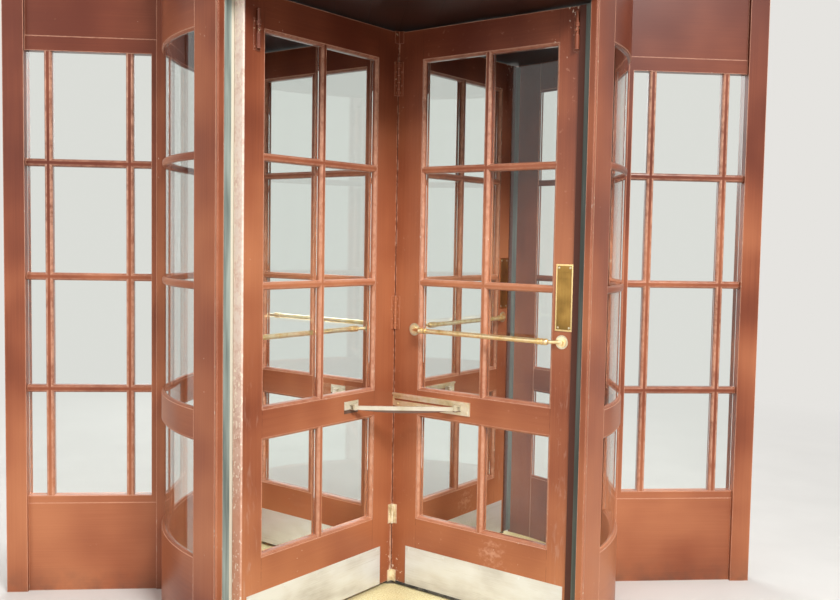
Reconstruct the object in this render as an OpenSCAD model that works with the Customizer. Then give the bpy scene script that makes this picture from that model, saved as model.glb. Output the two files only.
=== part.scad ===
// Four-wing revolving door of painted timber, with curved glazed drum walls and flat glazed side screens.
// Origin on the ground at the turning axis, +Z up, the front mouth towards -Y.

/* [Drum] */
// Radius of the inner face of the drum walls
drum_inner_r = 840; // [760:5:1000]
// Thickness of the curved wall timber
wall_t = 26; // [24:1:45]
// Angle that each curved side wall covers, from post end to post end
wall_arc = 92.5; // [84:0.5:100]
// Width of the post board at each end of a curved wall, measured round the outside
post_w = 127; // [90:1:150]
// Radius of the bead on the outer corner of each post board
bead_r = 4.5; // [3:0.5:7]
// Depth of the post where a side screen meets the drum, measured front to back
jamb_w = 60; // [50:1:90]
// How far that post stands out past the drum wall
jamb_out = 27; // [10:1:60]
// Thickness of the round floor
floor_t = 12; // [8:1:30]
// Clear height from the floor to the soffit
clear_h = 2118; // [2060:1:2300]
// Thickness of the soffit board
soffit_t = 22; // [16:1:40]
// Height of the boarded head between the soffit board and the roof board
head_h = 190; // [120:5:300]
// Thickness of the roof board
roof_t = 18; // [12:1:30]
// How far the roof board stands out past the drum wall
roof_over = 14; // [0:1:40]

/* [Rails] */
// Top of the base panel of the drum and of the bottom rail of a wing, above the floor
base_top = 276; // [200:1:340]
// Underside of the middle rail above the floor
mid_bottom = 674; // [600:1:740]
// Height of the middle rail
mid_h = 94; // [60:1:140]
// Height of the top rail of a wing
top_rail_h = 110; // [80:1:180]
// Width of a glazing bar on its glass side
bar_w = 26; // [22:1:34]

/* [Wings] */
// Turn of the wings at rest, past the diagonal
rest_turn = 2.5; // [0:0.5:4]
// Thickness of a wing
wing_t = 44; // [38:1:50]
// Gap from the nose of a wing to the drum wall
nose_gap = 43; // [38:1:60]
// Width of the stile beside the hub, from the hub to its arris
inner_stile_w = 116; // [90:1:140]
// Width of the outer stile, from its arris to the nose
outer_stile_w = 89; // [75:1:120]
// Gap from the floor to the timber of a wing
wing_gap_bottom = 14; // [12:1:20]
// Gap from the timber of a wing to the soffit
wing_gap_top = 10; // [8:1:20]
// Radius of the moulding along the edges of stiles, rails and bars
mould_r = 9; // [6:1:9]
// Step between the face and the moulding
quirk = 2; // [1:0.5:3]
// Radius of each eased corner of the nose
nose_r = 5; // [3:1:8]
// Thickness of the glass
glass_t = 6; // [4:1:8]

/* [Seals and kickplates] */
// Thickness of the rubber blade
blade_t = 5; // [4:1:8]
// How far the blade's flat base laps over the pushed face, from the nose
blade_lap = 13; // [8:1:20]
// How far that base runs on past the nose
blade_root = 10; // [6:1:14]
// Angle that the blade trails back from its base
blade_rake = 16; // [0:1:25]
// Gap from the blade to the drum wall
blade_clear = 6; // [5:0.5:10]
// How far the bottom sweep hangs below the timber
sweep_drop = 9; // [4:0.5:9]
// Thickness of the bottom sweep
sweep_t = 20; // [8:1:22]
// How far the bottom sweep stands out past the pushed face
sweep_out = 3; // [2:0.5:5]
// Height of a kickplate
kick_h = 147; // [100:1:200]
// Thickness of a kickplate
kick_t = 1.5; // [1:0.5:3]
// Distance from the axis to the inner edge of a kickplate
kick_in = 92; // [80:1:140]
// Distance from a kickplate's outer edge to the nose
kick_out = 25; // [20:1:60]

/* [Push bars and plates] */
// Height of a push bar above the floor
push_z = 997; // [900:1:1100]
// Diameter of a push bar
push_d = 18; // [12:1:25]
// Distance from the wing's face to the middle of a push bar
push_off = 30; // [28:1:60]
// How far each stem rakes along the bar, from its rosette to the end of the bar
stem_rake = 46; // [30:1:60]
// Diameter of a stem
stem_d = 12; // [8:1:14]
// Diameter of the boss that a stem rises from
boss_d = 17; // [16:1:24]
// Diameter of the knuckle and of the collars that hold the bar
collar_d = 23; // [20:1:28]
// Width of each collar
collar_w = 3; // [2:0.5:6]
// Length of the socket, up to the outer side of its last collar
socket_l = 30; // [20:1:50]
// Wall of the socket round the bar
socket_t = 1; // [0.5:0.5:2]
// Diameter of the rosette under each end of a push bar
rosette_d = 47; // [36:1:60]
// Thickness of a rosette
rosette_t = 6; // [4:1:10]
// Distance from the axis to the inner rosette
push_in = 119; // [100:1:130]
// Distance from the outer rosette to the nose
push_end = 51; // [45:1:75]
// Width of a push plate
plate_w = 64; // [40:1:70]
// Height of a push plate
plate_h = 226; // [150:1:300]
// Height of the lower edge of a push plate above the floor
plate_z = 1034; // [1025:1:1200]
// Gap from a push plate to the base of the blade
plate_in = 1.5; // [1:0.5:6]
// Width of the raised border of a push plate
border_w = 5; // [3:1:10]
// Thickness of the brass plates
plate_t = 2; // [1:0.5:4]

/* [Stays and hinges] */
// Height of the middle of a stay above the floor
stay_z = 722; // [700:1:740]
// Length of the slotted track of a stay
track_len = 356; // [350:1:420]
// Height of the slotted track
track_h = 50; // [44:1:60]
// Thickness of the track plate
track_t = 4; // [3:0.5:6]
// How far the flange along the top of the track stands out
flange_d = 10; // [6:1:12]
// Height of that flange
flange_h = 7; // [4:1:9]
// Height of the slot in the track
slot_h = 8; // [6:1:10]
// Distance from the axis to the pivot that rides in the track
pivot_s = 326; // [250:1:350]
// Distance from the axis to the middle of the bracket on the other wing
bracket_s = 268; // [220:1:300]
// Length of the bracket plate
bracket_w = 76; // [50:1:90]
// Height of the bracket plate
bracket_h = 44; // [30:1:50]
// Distance from a wing's face to the pin of a stay
pin_off = 20; // [18:1:30]
// Diameter of the pins of a stay
pin_d = 8; // [6:1:10]
// Diameter of the eyes at the ends of a stay arm
eye_d = 18; // [16:1:22]
// Height of a stay arm at its ends
arm_h = 14; // [10:1:20]
// Extra height of a stay arm at its middle
arm_belly = 12; // [2:1:16]
// Thickness of a stay arm
arm_t = 9; // [6:1:12]
// Thickness of the ears that hold a stay's pins
ear_t = 4; // [3:0.5:6]
// Height of the lowest hinge
hinge_h = 74; // [60:1:100]
// Height of the middle and upper hinges
tall_hinge_h = 126; // [100:1:160]
// Middle of the middle hinge above the floor
mid_hinge_z = 1056; // [1000:1:1120]
// Distance from the top of the upper hinge to the soffit
top_hinge_drop = 120; // [60:1:240]
// Width of a hinge leaf
leaf_w = 22; // [15:1:40]
// Thickness of a hinge leaf
leaf_t = 2; // [1:0.5:4]
// Diameter of a hinge's knuckles
knuckle_d = 11; // [8:1:14]
// Number of knuckles on a hinge
knuckles = 5; // [3:2:7]

/* [Bearings] */
// Diameter of the spindle above and below the hub
spindle_d = 30; // [20:1:40]
// Radial running clearance of the spindle
spindle_clear = 0.05; // [0.02:0.01:0.1]
// Outside diameter of each bearing
bearing_d = 90; // [70:1:140]
// Width of the bottom bearing's foot and of the top bearing's flange, past their housings
bearing_lip = 14; // [10:1:30]
// Height of the top bearing's housing
housing_h = 32; // [20:1:60]
// Width of the corner angles of a pivot shoe
shoe_w = 24; // [16:1:36]
// Height of those angles
shoe_h = 42; // [30:1:70]
// Thickness of a pivot shoe
shoe_t = 3; // [2:0.5:4]
// Height of the bottom bearing above the floor
bearing_h = 8; // [4:0.5:9]

/* [Side screens] */
// Thickness of a side screen
screen_t = 45; // [38:1:60]
// Visible width of that stile
screen_stile_w = 19; // [15:1:60]
// Width of each narrow pane
narrow_w = 66; // [40:1:120]
// Width of the wide pane
wide_w = 265; // [180:5:400]
// Width of the bars of a side screen
screen_bar_w = 28; // [22:1:40]
// Width of the outer post of a side screen
screen_post_w = 75; // [50:1:120]
// Depth of the outer post, front to back
screen_post_d = 75; // [60:1:120]
// Underside of the lowest panes above the floor
screen_sill = 350; // [250:1:450]
// Distance from the soffit down to the highest panes
screen_drop = 118; // [80:1:240]
// Height of the head rail of a side screen
screen_head_h = 53; // [40:1:100]
// Rows of panes
screen_rows = 4; // [2:1:5]

/* [Hidden] */
$fn = 96;

paint = [0.47, 0.2, 0.13];
dark_paint = [0.28, 0.13, 0.1];
brass = [0.83, 0.66, 0.33];
steel = [0.8, 0.8, 0.78];
rubber = [0.35, 0.37, 0.35];
clear_glass = [0.75, 0.85, 0.85, 0.35];
cream = [0.93, 0.9, 0.84];

// Room left between pieces that fit together on one body
fit = 0.3;
cut = 1;

drum_outer_r = drum_inner_r + wall_t;
wing_r = drum_inner_r - nose_gap;
push_out = wing_r - push_end;
screen_in = drum_outer_r + jamb_out;
screen_top = clear_h - screen_drop;
glass_r = drum_inner_r + wall_t / 2;
half_arc = wall_arc / 2;
post_deg = post_w / drum_outer_r * 180 / PI;
jamb_deg = asin((jamb_w / 2 + fit) / drum_inner_r);
soffit_z = floor_t + clear_h;
roof_z = soffit_z + soffit_t + head_h;

// Rows of panes: [bottom, top] measured up from the floor
mid_top = mid_bottom + mid_h;
top_bottom = clear_h - wing_gap_top - top_rail_h;
row_h = (top_bottom - mid_top - 2 * bar_w) / 3;
rows = [
    [base_top, mid_bottom],
    for (i = [0:2]) [mid_top + i * (row_h + bar_w), mid_top + i * (row_h + bar_w) + row_h]
];

wing_z = floor_t + wing_gap_bottom;
wing_top = soffit_z - wing_gap_top;
face = wing_t / 2;
hub_w = wing_t;
hub_face = hub_w / 2;
stile_arris = hub_face + inner_stile_w;
nose_arris = wing_r - outer_stile_w;
bar_s = (stile_arris + nose_arris) / 2;
blade_r = drum_inner_r - blade_clear;
track_in = hub_face + fit;
stay_mid = floor_t + stay_z;

screen_edge = screen_in + screen_stile_w;
columns = [
    [screen_edge, screen_edge + narrow_w],
    [screen_edge + narrow_w + screen_bar_w, screen_edge + narrow_w + screen_bar_w + wide_w],
    [screen_edge + narrow_w + 2 * screen_bar_w + wide_w, screen_edge + 2 * narrow_w + 2 * screen_bar_w + wide_w]
];
screen_post_x = columns[2][1];
screen_row_h = (screen_top - screen_sill - (screen_rows - 1) * screen_bar_w) / screen_rows;
// Underside of the sill rail of a side screen
sill_z = floor_t + screen_sill - screen_bar_w;
screen_levels = [
    for (i = [0:screen_rows - 1])
        floor_t + screen_sill + i * (screen_row_h + screen_bar_w)
];

// A strip of a round wall from radius r1 to r2 between two angles
module arc_strip(r1, r2, a1, a2, z1, z2) {
    translate([0, 0, z1])
        rotate([0, 0, a1])
            rotate_extrude(angle = a2 - a1, $fn = 180)
                translate([r1, 0])
                    square([r2 - r1, z2 - z1]);
}

// Places a left wall piece on all four quarters: 1 is left rear, -1 is left front
module quarter(left, front) {
    mirror([left ? 1 : 0, 0, 0])
        mirror([0, front ? 1 : 0, 0])
            children();
}

// Floor, soffit and roof

module floor_disc() {
    color("khaki")
        difference() {
            cylinder(r = drum_inner_r - fit, h = floor_t);
            translate([0, 0, -cut])
                cylinder(d = spindle_d + 2 * spindle_clear, h = floor_t + 2 * cut);
        }
}

module floor_bearing() {
    color(steel)
        translate([0, 0, floor_t])
            difference() {
                union() {
                    cylinder(d = bearing_d, h = bearing_h / 2);
                    cylinder(d = bearing_d - 2 * bearing_lip, h = bearing_h);
                }
                translate([0, 0, -cut])
                    cylinder(d = spindle_d + 2 * spindle_clear, h = bearing_h + 2 * cut);
            }
}

module soffit_board() {
    color(dark_paint)
        translate([0, 0, soffit_z])
            difference() {
                cylinder(r = drum_inner_r - fit, h = soffit_t);
                translate([0, 0, -cut])
                    cylinder(d = spindle_d + 2 * spindle_clear, h = soffit_t + 2 * cut);
            }
}

module top_bearing() {
    color(steel)
        translate([0, 0, soffit_z + soffit_t])
            difference() {
                union() {
                    cylinder(d = bearing_d + 2 * bearing_lip, h = bearing_h);
                    cylinder(d = bearing_d, h = housing_h);
                }
                translate([0, 0, -cut])
                    cylinder(d = spindle_d + 2 * spindle_clear, h = housing_h + 2 * cut);
            }
}

module roof_board() {
    color(dark_paint)
        translate([0, 0, roof_z])
            cylinder(r = drum_outer_r + roof_over, h = roof_t);
}

// A fascia closes the head over one mouth, with a bead along its lower edge
module fascia(front) {
    a = half_arc + fit / drum_outer_r * 180 / PI;
    color(paint)
        quarter(false, front)
            rotate([0, 0, a])
                rotate_extrude(angle = 180 - 2 * a, $fn = 180) {
                    translate([drum_inner_r, soffit_z])
                        square([wall_t - bead_r, roof_z - soffit_z]);
                    translate([drum_inner_r, soffit_z + 2 * bead_r - fit])
                        square([wall_t, roof_z - soffit_z - 2 * bead_r + fit]);
                    translate([drum_outer_r - bead_r, soffit_z + bead_r])
                        circle(r = bead_r, $fn = 12);
                }
}

module front_fascia() { fascia(true); }
module rear_fascia() { fascia(false); }

// Curved glazed walls

// Post board at the end of a wall, with a quirked bead on its outer corner
module post_board(left, front) {
    bead_deg = (bead_r + fit) / drum_outer_r * 180 / PI;
    color(paint)
        quarter(left, front) {
            arc_strip(drum_inner_r, drum_outer_r - bead_r, half_arc - post_deg, half_arc, 0, roof_z);
            arc_strip(drum_inner_r, drum_outer_r, half_arc - post_deg, half_arc - 2 * bead_deg, 0, roof_z);
            rotate([0, 0, half_arc - bead_deg])
                translate([drum_outer_r - bead_r, 0, 0])
                    cylinder(r = bead_r, h = roof_z, $fn = 12);
        }
}

module left_front_post() { post_board(true, true); }
module left_rear_post() { post_board(true, false); }
module right_front_post() { post_board(false, true); }
module right_rear_post() { post_board(false, false); }

// Post where the side screen meets the drum, hollowed to the curve of the wall
module jamb_post(left) {
    color(paint)
        quarter(left, false)
            difference() {
                translate([drum_inner_r - wall_t, -jamb_w / 2, 0])
                    cube([screen_in - drum_inner_r + wall_t, jamb_w, roof_z]);
                translate([0, 0, -cut])
                    cylinder(r = drum_inner_r, h = roof_z + 2 * cut, $fn = 180);
            }
}

module left_jamb_post() { jamb_post(true); }
module right_jamb_post() { jamb_post(false); }

// Section of a curved rail: a board with a moulding along each glazed edge
module rail_section(z1, z2, mould_low, mould_high) {
    translate([drum_inner_r, z1])
        square([wall_t, z2 - z1]);
    low = mould_low ? [z1] : [];
    high = mould_high ? [z2] : [];
    for (z = concat(low, high))
        intersection() {
            translate([glass_r, z])
                square([wall_t - 2 * quirk, 2 * mould_r], center = true);
            for (side = [-1, 1])
                translate([glass_r + side * (wall_t / 2 - quirk - mould_r), z])
                    circle(r = mould_r, $fn = 12);
        }
}

module curved_rail(z1, z2, mould_low, mould_high) {
    a1 = jamb_deg;
    a2 = half_arc - post_deg - fit / drum_outer_r * 180 / PI;
    rotate([0, 0, a1])
        rotate_extrude(angle = a2 - a1, $fn = 180)
            rail_section(z1, z2, mould_low, mould_high);
}

// Glazing bar: rounded on both faces, thinner than the wall
module bar_section(width, depth) {
    nose = width / 2 - mould_r;
    square([width, depth - 2 * mould_r], center = true);
    square([2 * nose, depth], center = true);
    for (x = [-nose, nose])
        for (y = [-1, 1])
            translate([x, y * (depth / 2 - mould_r)])
                circle(r = mould_r, $fn = 12);
}

module curved_bar(z) {
    a1 = jamb_deg;
    a2 = half_arc - post_deg - fit / drum_outer_r * 180 / PI;
    rotate([0, 0, a1])
        rotate_extrude(angle = a2 - a1, $fn = 180)
            translate([glass_r, z])
                rotate(90)
                    bar_section(bar_w, wall_t - 2 * quirk);
}

module wall_rails(left, front) {
    color(paint)
        quarter(left, front) {
            curved_rail(0, floor_t + base_top, false, true);
            curved_rail(floor_t + mid_bottom, floor_t + mid_top, true, true);
            curved_rail(floor_t + top_bottom, roof_z, true, false);
            for (i = [1, 2])
                curved_bar(floor_t + rows[i][1] + bar_w / 2);
        }
}

module left_front_rails() { wall_rails(true, true); }
module left_rear_rails() { wall_rails(true, false); }
module right_front_rails() { wall_rails(false, true); }
module right_rear_rails() { wall_rails(false, false); }

// Clearance that keeps a pane off a moulded rail below or above it, and off a plain bar
module wall_glass(left, front) {
    a1 = jamb_deg;
    a2 = half_arc - post_deg - fit / drum_outer_r * 180 / PI;
    rail = mould_r + fit;
    low = [rail, rail, fit, fit];
    high = [rail, fit, fit, rail];
    color(clear_glass)
        quarter(left, front)
            for (i = [0:3])
                arc_strip(glass_r - glass_t / 2, glass_r + glass_t / 2, a1, a2,
                    floor_t + rows[i][0] + low[i], floor_t + rows[i][1] - high[i]);
}

module left_front_glass() { wall_glass(true, true); }
module left_rear_glass() { wall_glass(true, false); }
module right_front_glass() { wall_glass(false, true); }
module right_rear_glass() { wall_glass(false, false); }

// Flat side screens

module screen_frame(left) {
    x1 = screen_in + fit;
    top = floor_t + screen_top + screen_head_h;
    color(paint)
        quarter(left, false) {
            // Stile against the drum
            translate([x1, -screen_t / 2, sill_z])
                cube([screen_edge - x1, screen_t, top - sill_z]);
            // Outer post, down to the ground
            translate([screen_post_x, -screen_post_d / 2, 0])
                cube([screen_post_w, screen_post_d, roof_z]);
            // Head rail and sill
            translate([x1, -screen_t / 2, top - screen_head_h])
                cube([screen_post_x - x1 + cut, screen_t, screen_head_h]);
            translate([x1, -screen_t / 2, sill_z])
                cube([screen_post_x - x1 + cut, screen_t, screen_bar_w]);
            // Upright bars
            for (i = [0, 1])
                translate([columns[i][1] + screen_bar_w / 2, 0, sill_z + screen_bar_w / 2])
                    linear_extrude(top - sill_z - screen_bar_w)
                        bar_section(screen_bar_w, screen_t - 2 * quirk);
            // Level bars
            for (i = [1:screen_rows - 1])
                translate([x1, 0, screen_levels[i] - screen_bar_w / 2])
                    rotate([90, 0, 90])
                        linear_extrude(screen_post_x - x1 + cut)
                            rotate(90)
                                bar_section(screen_bar_w, screen_t - 2 * quirk);
        }
}

module left_screen_frame() { screen_frame(true); }
module right_screen_frame() { screen_frame(false); }

module screen_glass(left) {
    color(clear_glass)
        quarter(left, false)
            for (c = columns)
                for (z = screen_levels)
                    translate([c[0] + fit, -glass_t / 2, z + fit])
                        cube([c[1] - c[0] - 2 * fit, glass_t, screen_row_h - 2 * fit]);
}

module left_screen_glass() { screen_glass(true); }
module right_screen_glass() { screen_glass(false); }

// Boarded panels under the sill and over the head rail
module screen_panels(left) {
    x1 = screen_in + fit;
    top = floor_t + screen_top + screen_head_h;
    color(paint)
        quarter(left, false) {
            translate([x1, -screen_t / 2, 0])
                cube([screen_post_x - x1 - fit, screen_t, sill_z]);
            translate([x1, -screen_t / 2 + quirk, top])
                cube([screen_post_x - x1 - fit, screen_t - 2 * quirk, roof_z - top]);
        }
}

module left_screen_panels() { screen_panels(true); }
module right_screen_panels() { screen_panels(false); }

// Wings

// Turns a piece drawn on wing 0, which lies along +X, to wing i
module on_wing(i) {
    rotate([0, 0, 225 + rest_turn + 90 * i])
        children();
}

// Section of a stile, seen from above: a board with a moulding along its glazed edge
module stile_section(x1, x2, edge) {
    translate([x1, -face])
        square([x2 - x1, wing_t]);
    for (side = [-1, 1])
        translate([edge, side * (face - quirk - mould_r)])
            circle(r = mould_r, $fn = 12);
    translate([edge - mould_r, -(face - quirk - mould_r)])
        square([2 * mould_r, 2 * (face - quirk - mould_r)]);
}

// Outer stile with a flat nose and eased corners
module outer_stile_section() {
    nose = wing_r - nose_r;
    stile_section(nose_arris, nose, nose_arris);
    translate([nose - cut, -(face - nose_r)])
        square([nose_r + cut, 2 * (face - nose_r)]);
    for (side = [-1, 1])
        translate([nose, side * (face - nose_r)])
            circle(r = nose_r, $fn = 32);
}

// Section of a rail, seen along the wing: x is the wing's thickness, y is height
module wing_rail_section(z1, z2, mould_low, mould_high) {
    translate([-face, z1])
        square([wing_t, z2 - z1]);
    low = mould_low ? [z1] : [];
    high = mould_high ? [z2] : [];
    for (z = concat(low, high)) {
        for (side = [-1, 1])
            translate([side * (face - quirk - mould_r), z])
                circle(r = mould_r, $fn = 12);
        translate([-(face - quirk - mould_r), z - mould_r])
            square([2 * (face - quirk - mould_r), 2 * mould_r]);
    }
}

module along_wing(s1, s2) {
    translate([s1, 0, 0])
        rotate([90, 0, 90])
            linear_extrude(s2 - s1)
                children();
}

module wing_frame(i) {
    color(paint)
        on_wing(i) {
            translate([0, 0, wing_z])
                linear_extrude(wing_top - wing_z)
                    stile_section(hub_face + fit, stile_arris, stile_arris);
            translate([0, 0, wing_z])
                linear_extrude(wing_top - wing_z)
                    outer_stile_section();
            along_wing(stile_arris - cut, nose_arris + cut) {
                wing_rail_section(wing_z, floor_t + base_top, false, true);
                wing_rail_section(floor_t + mid_bottom, floor_t + mid_top, true, true);
                wing_rail_section(floor_t + top_bottom, wing_top, true, false);
                for (k = [1, 2])
                    translate([0, floor_t + rows[k][1] + bar_w / 2])
                        rotate(90)
                            bar_section(bar_w, wing_t - 2 * quirk);
            }
            translate([bar_s, 0, floor_t + base_top - cut])
                linear_extrude(top_bottom - base_top + 2 * cut)
                    bar_section(bar_w, wing_t - 2 * quirk);
        }
}

module wing_1_frame() { wing_frame(0); }
module wing_2_frame() { wing_frame(1); }
module wing_3_frame() { wing_frame(2); }
module wing_4_frame() { wing_frame(3); }

module wing_glass(i) {
    rail = mould_r + fit;
    low = [rail, rail, fit, fit];
    high = [rail, fit, fit, rail];
    spans = [[stile_arris + rail, bar_s - bar_w / 2 - fit], [bar_s + bar_w / 2 + fit, nose_arris - rail]];
    color(clear_glass)
        on_wing(i)
            for (s = spans)
                for (k = [0:3])
                    translate([s[0], -glass_t / 2, floor_t + rows[k][0] + low[k]])
                        cube([s[1] - s[0], glass_t, rows[k][1] - rows[k][0] - low[k] - high[k]]);
}

module wing_1_glass() { wing_glass(0); }
module wing_2_glass() { wing_glass(1); }
module wing_3_glass() { wing_glass(2); }
module wing_4_glass() { wing_glass(3); }

// Square post and spindle at the turning axis
module hub_post() {
    color(paint) {
        translate([0, 0, wing_z])
            rotate([0, 0, 45 + rest_turn])
                translate([-hub_face, -hub_face, 0])
                    cube([hub_w, hub_w, wing_top - wing_z]);
        cylinder(d = spindle_d, h = soffit_z + soffit_t + housing_h);
    }
}

// Pivot shoe: a plate across the hub with an angle in each corner between two wings
module pivot_shoe() {
    reach = hub_face + shoe_w;
    difference() {
        intersection() {
            cylinder(r = reach, h = shoe_t);
            for (i = [0, 1])
                rotate([0, 0, 90 * i])
                    translate([-reach, -hub_face - shoe_t, 0])
                        cube([2 * reach, hub_w + 2 * shoe_t, shoe_t]);
        }
        translate([0, 0, -cut])
            cylinder(d = spindle_d + 2 * fit, h = shoe_t + 2 * cut);
    }
    for (i = [0:3])
        rotate([0, 0, 90 * i])
            translate([hub_face, hub_face, 0])
                linear_extrude(shoe_t + shoe_h)
                    difference() {
                        square(shoe_w);
                        translate([shoe_t, shoe_t])
                            square(shoe_w);
                    }
}

module hub_shoes() {
    color(brass)
        on_wing(0) {
            translate([0, 0, wing_z - shoe_t - fit])
                pivot_shoe();
            translate([0, 0, wing_top + shoe_t + fit])
                mirror([0, 0, 1])
                    pivot_shoe();
        }
}

module kickplates() {
    color(steel)
        for (i = [0:3])
            on_wing(i)
                for (side = [-1, 1])
                    translate([kick_in, side * (face + kick_t / 2) - kick_t / 2, wing_z])
                        cube([wing_r - kick_out - kick_in, kick_t, kick_h]);
}

// Section of a blade: a flat base on the pushed face and a lip that trails back towards the drum wall
module blade_section() {
    heel = [wing_r + blade_root, -face];
    reach = heel * [cos(blade_rake), -sin(blade_rake)];
    lip = sqrt(reach * reach - heel * heel + blade_r * blade_r) - reach;
    translate([wing_r - blade_lap, -face - blade_t])
        square([blade_lap + blade_root, blade_t]);
    translate(heel)
        rotate(-blade_rake)
            translate([0, -blade_t])
                square([lip, blade_t]);
}

// Rubber blade along the pushed face of each nose
module edge_seals() {
    color(rubber)
        for (i = [0:3])
            on_wing(i)
                translate([0, 0, wing_z])
                    linear_extrude(wing_top - wing_z)
                        blade_section();
}

// Strip under the pushed face of each wing, clear of the pivot shoe
module bottom_sweeps() {
    s1 = hub_face + shoe_w + fit;
    color(rubber)
        for (i = [0:3])
            on_wing(i)
                translate([s1, -face - sweep_out, wing_z - sweep_drop])
                    cube([wing_r - nose_r - s1, sweep_t, sweep_drop]);
}

// End of a push bar: stepped rosette, raked stem, knuckle and socket with two collars
module push_bar_end() {
    rise = push_off - rosette_t;
    translate([0, -face, 0])
        rotate([90, 0, 0]) {
            cylinder(d = rosette_d, h = rosette_t / 2);
            cylinder(d = rosette_d - 2 * rosette_t, h = rosette_t);
            cylinder(d = boss_d, h = rosette_t + stem_d / 2);
            translate([0, 0, rosette_t])
                rotate([0, atan2(stem_rake, rise), 0])
                    cylinder(d = stem_d, h = norm([stem_rake, rise]));
        }
    translate([stem_rake, -face - push_off, 0]) {
        sphere(d = collar_d, $fn = 48);
        rotate([0, 90, 0]) {
            cylinder(d = push_d + 2 * socket_t, h = socket_l);
            for (x = [socket_l / 2, socket_l])
                translate([0, 0, x - collar_w])
                    cylinder(d = collar_d, h = collar_w);
        }
    }
}

module push_bars() {
    color(brass)
        for (i = [0:3])
            on_wing(i)
                translate([0, 0, floor_t + push_z]) {
                    translate([push_in, 0, 0])
                        push_bar_end();
                    translate([push_out, 0, 0])
                        mirror([1, 0, 0])
                            push_bar_end();
                    translate([push_in + stem_rake, -face - push_off, 0])
                        rotate([0, 90, 0])
                            cylinder(d = push_d, h = push_out - push_in - 2 * stem_rake);
                }
}

// Push plate with a raised border
module push_plates() {
    color(brass)
        for (i = [0:3])
            on_wing(i)
                translate([wing_r - blade_lap - plate_in - plate_w, -face - plate_t, floor_t + plate_z])
                    difference() {
                        cube([plate_w, plate_t, plate_h]);
                        translate([border_w, -cut, border_w])
                            cube([plate_w - 2 * border_w, cut + plate_t / 2, plate_h - 2 * border_w]);
                    }
}

// Slotted track of each stay, an angle on the pushed face beside the hub
module stay_tracks() {
    slot_in = track_in + slot_h;
    slot_out = pivot_s + eye_d / 2;
    color(brass)
        for (i = [0:3])
            on_wing(i)
                difference() {
                    translate([track_in, -face - track_t, stay_mid - track_h / 2]) {
                        cube([track_len, track_t, track_h]);
                        translate([0, track_t - flange_d, track_h - flange_h])
                            cube([track_len, flange_d, flange_h]);
                    }
                    for (s = [slot_in, slot_out])
                        translate([s, -face + cut, stay_mid])
                            rotate([90, 0, 0])
                                cylinder(d = slot_h, h = track_t + 2 * cut);
                    translate([slot_in, -face - track_t - cut, stay_mid - slot_h / 2])
                        cube([slot_out - slot_in, track_t + 2 * cut, slot_h]);
                }
}

// Pin between two ears on a plate: the plate lies on y = 0 and the pin stands at y = off
module stay_fork(plate_x, plate_z, thick, off) {
    ear_z = arm_h / 2 + fit;
    translate([-plate_x / 2, 0, -plate_z / 2])
        cube([plate_x, thick, plate_z]);
    translate([0, off, -ear_z - ear_t])
        cylinder(d = pin_d, h = 2 * (ear_z + ear_t));
    for (z = [-ear_z - ear_t, ear_z])
        translate([0, 0, z]) {
            translate([0, off, 0])
                cylinder(d = eye_d, h = ear_t);
            translate([-eye_d / 2, 0, 0])
                cube([eye_d, off, ear_t]);
        }
}

// Bar with a straight top and a bellied lower edge, between two bored eyes
module stay_bar(length) {
    half = length / 2;
    sweep_r = (half * half + arm_belly * arm_belly) / (2 * arm_belly);
    top = arm_h / 2 - cut;
    difference() {
        union() {
            rotate([90, 0, 0])
                linear_extrude(arm_t, center = true) {
                    translate([0, -top])
                        square([length, 2 * top]);
                    intersection() {
                        translate([half, sweep_r - top - arm_belly])
                            circle(r = sweep_r, $fn = 360);
                        translate([eye_d / 2, -top - arm_belly])
                            square([length - eye_d, top + arm_belly]);
                    }
                }
            for (x = [0, length])
                translate([x, 0, -arm_h / 2])
                    cylinder(d = eye_d, h = arm_h);
        }
        for (x = [0, length])
            translate([x, 0, -arm_h])
                cylinder(d = pin_d + 2 * fit, h = 2 * arm_h);
    }
}

// Stay arm from a bracket on one wing to a slider in the track of the next
module stay_arms() {
    a = [bracket_s, face + pin_off];
    b = [face + pin_off, pivot_s];
    gap = track_t + fit;
    color(cream)
        for (i = [0:3])
            on_wing(i)
                translate([0, 0, stay_mid]) {
                    translate([bracket_s, face, 0])
                        stay_fork(bracket_w, bracket_h, plate_t, pin_off);
                    translate([face + gap, pivot_s, 0])
                        rotate([0, 0, -90])
                            stay_fork(eye_d * 1.5, arm_h + 2 * ear_t + 2 * fit, plate_t, pin_off - gap);
                    translate([a[0], a[1], 0])
                        rotate([0, 0, atan2(b[1] - a[1], b[0] - a[0])])
                            stay_bar(norm(b - a));
                }
}

// Butt hinge in the corner between two wings: two leaves and a barrel of knuckles
module corner_hinge(height) {
    reach = leaf_t + fit;
    middle = reach + knuckle_d / 2;
    pitch = height / knuckles;
    for (side = [0, 1])
        mirror([side, -side, 0])
            translate([reach, 0, 0])
                cube([leaf_w, leaf_t, height]);
    translate([middle, middle, 0])
        cylinder(d = knuckle_d - leaf_t, h = height);
    for (i = [0:knuckles - 1])
        translate([middle, middle, i * pitch])
            cylinder(d = knuckle_d, h = pitch - leaf_t / 2);
    translate([leaf_t / 2, leaf_t / 2, 0])
        cube([middle - leaf_t / 2, middle - leaf_t / 2, height]);
}

module hinges() {
    top = clear_h - top_hinge_drop - tall_hinge_h;
    levels = [
        [base_top - hinge_h / 2, hinge_h],
        [mid_hinge_z - tall_hinge_h / 2, tall_hinge_h],
        [top, tall_hinge_h]
    ];
    color(brass)
        for (i = [0:3])
            on_wing(i)
                for (level = levels)
                    translate([hub_face, hub_face, floor_t + level[0]])
                        corner_hinge(level[1]);
}

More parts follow.
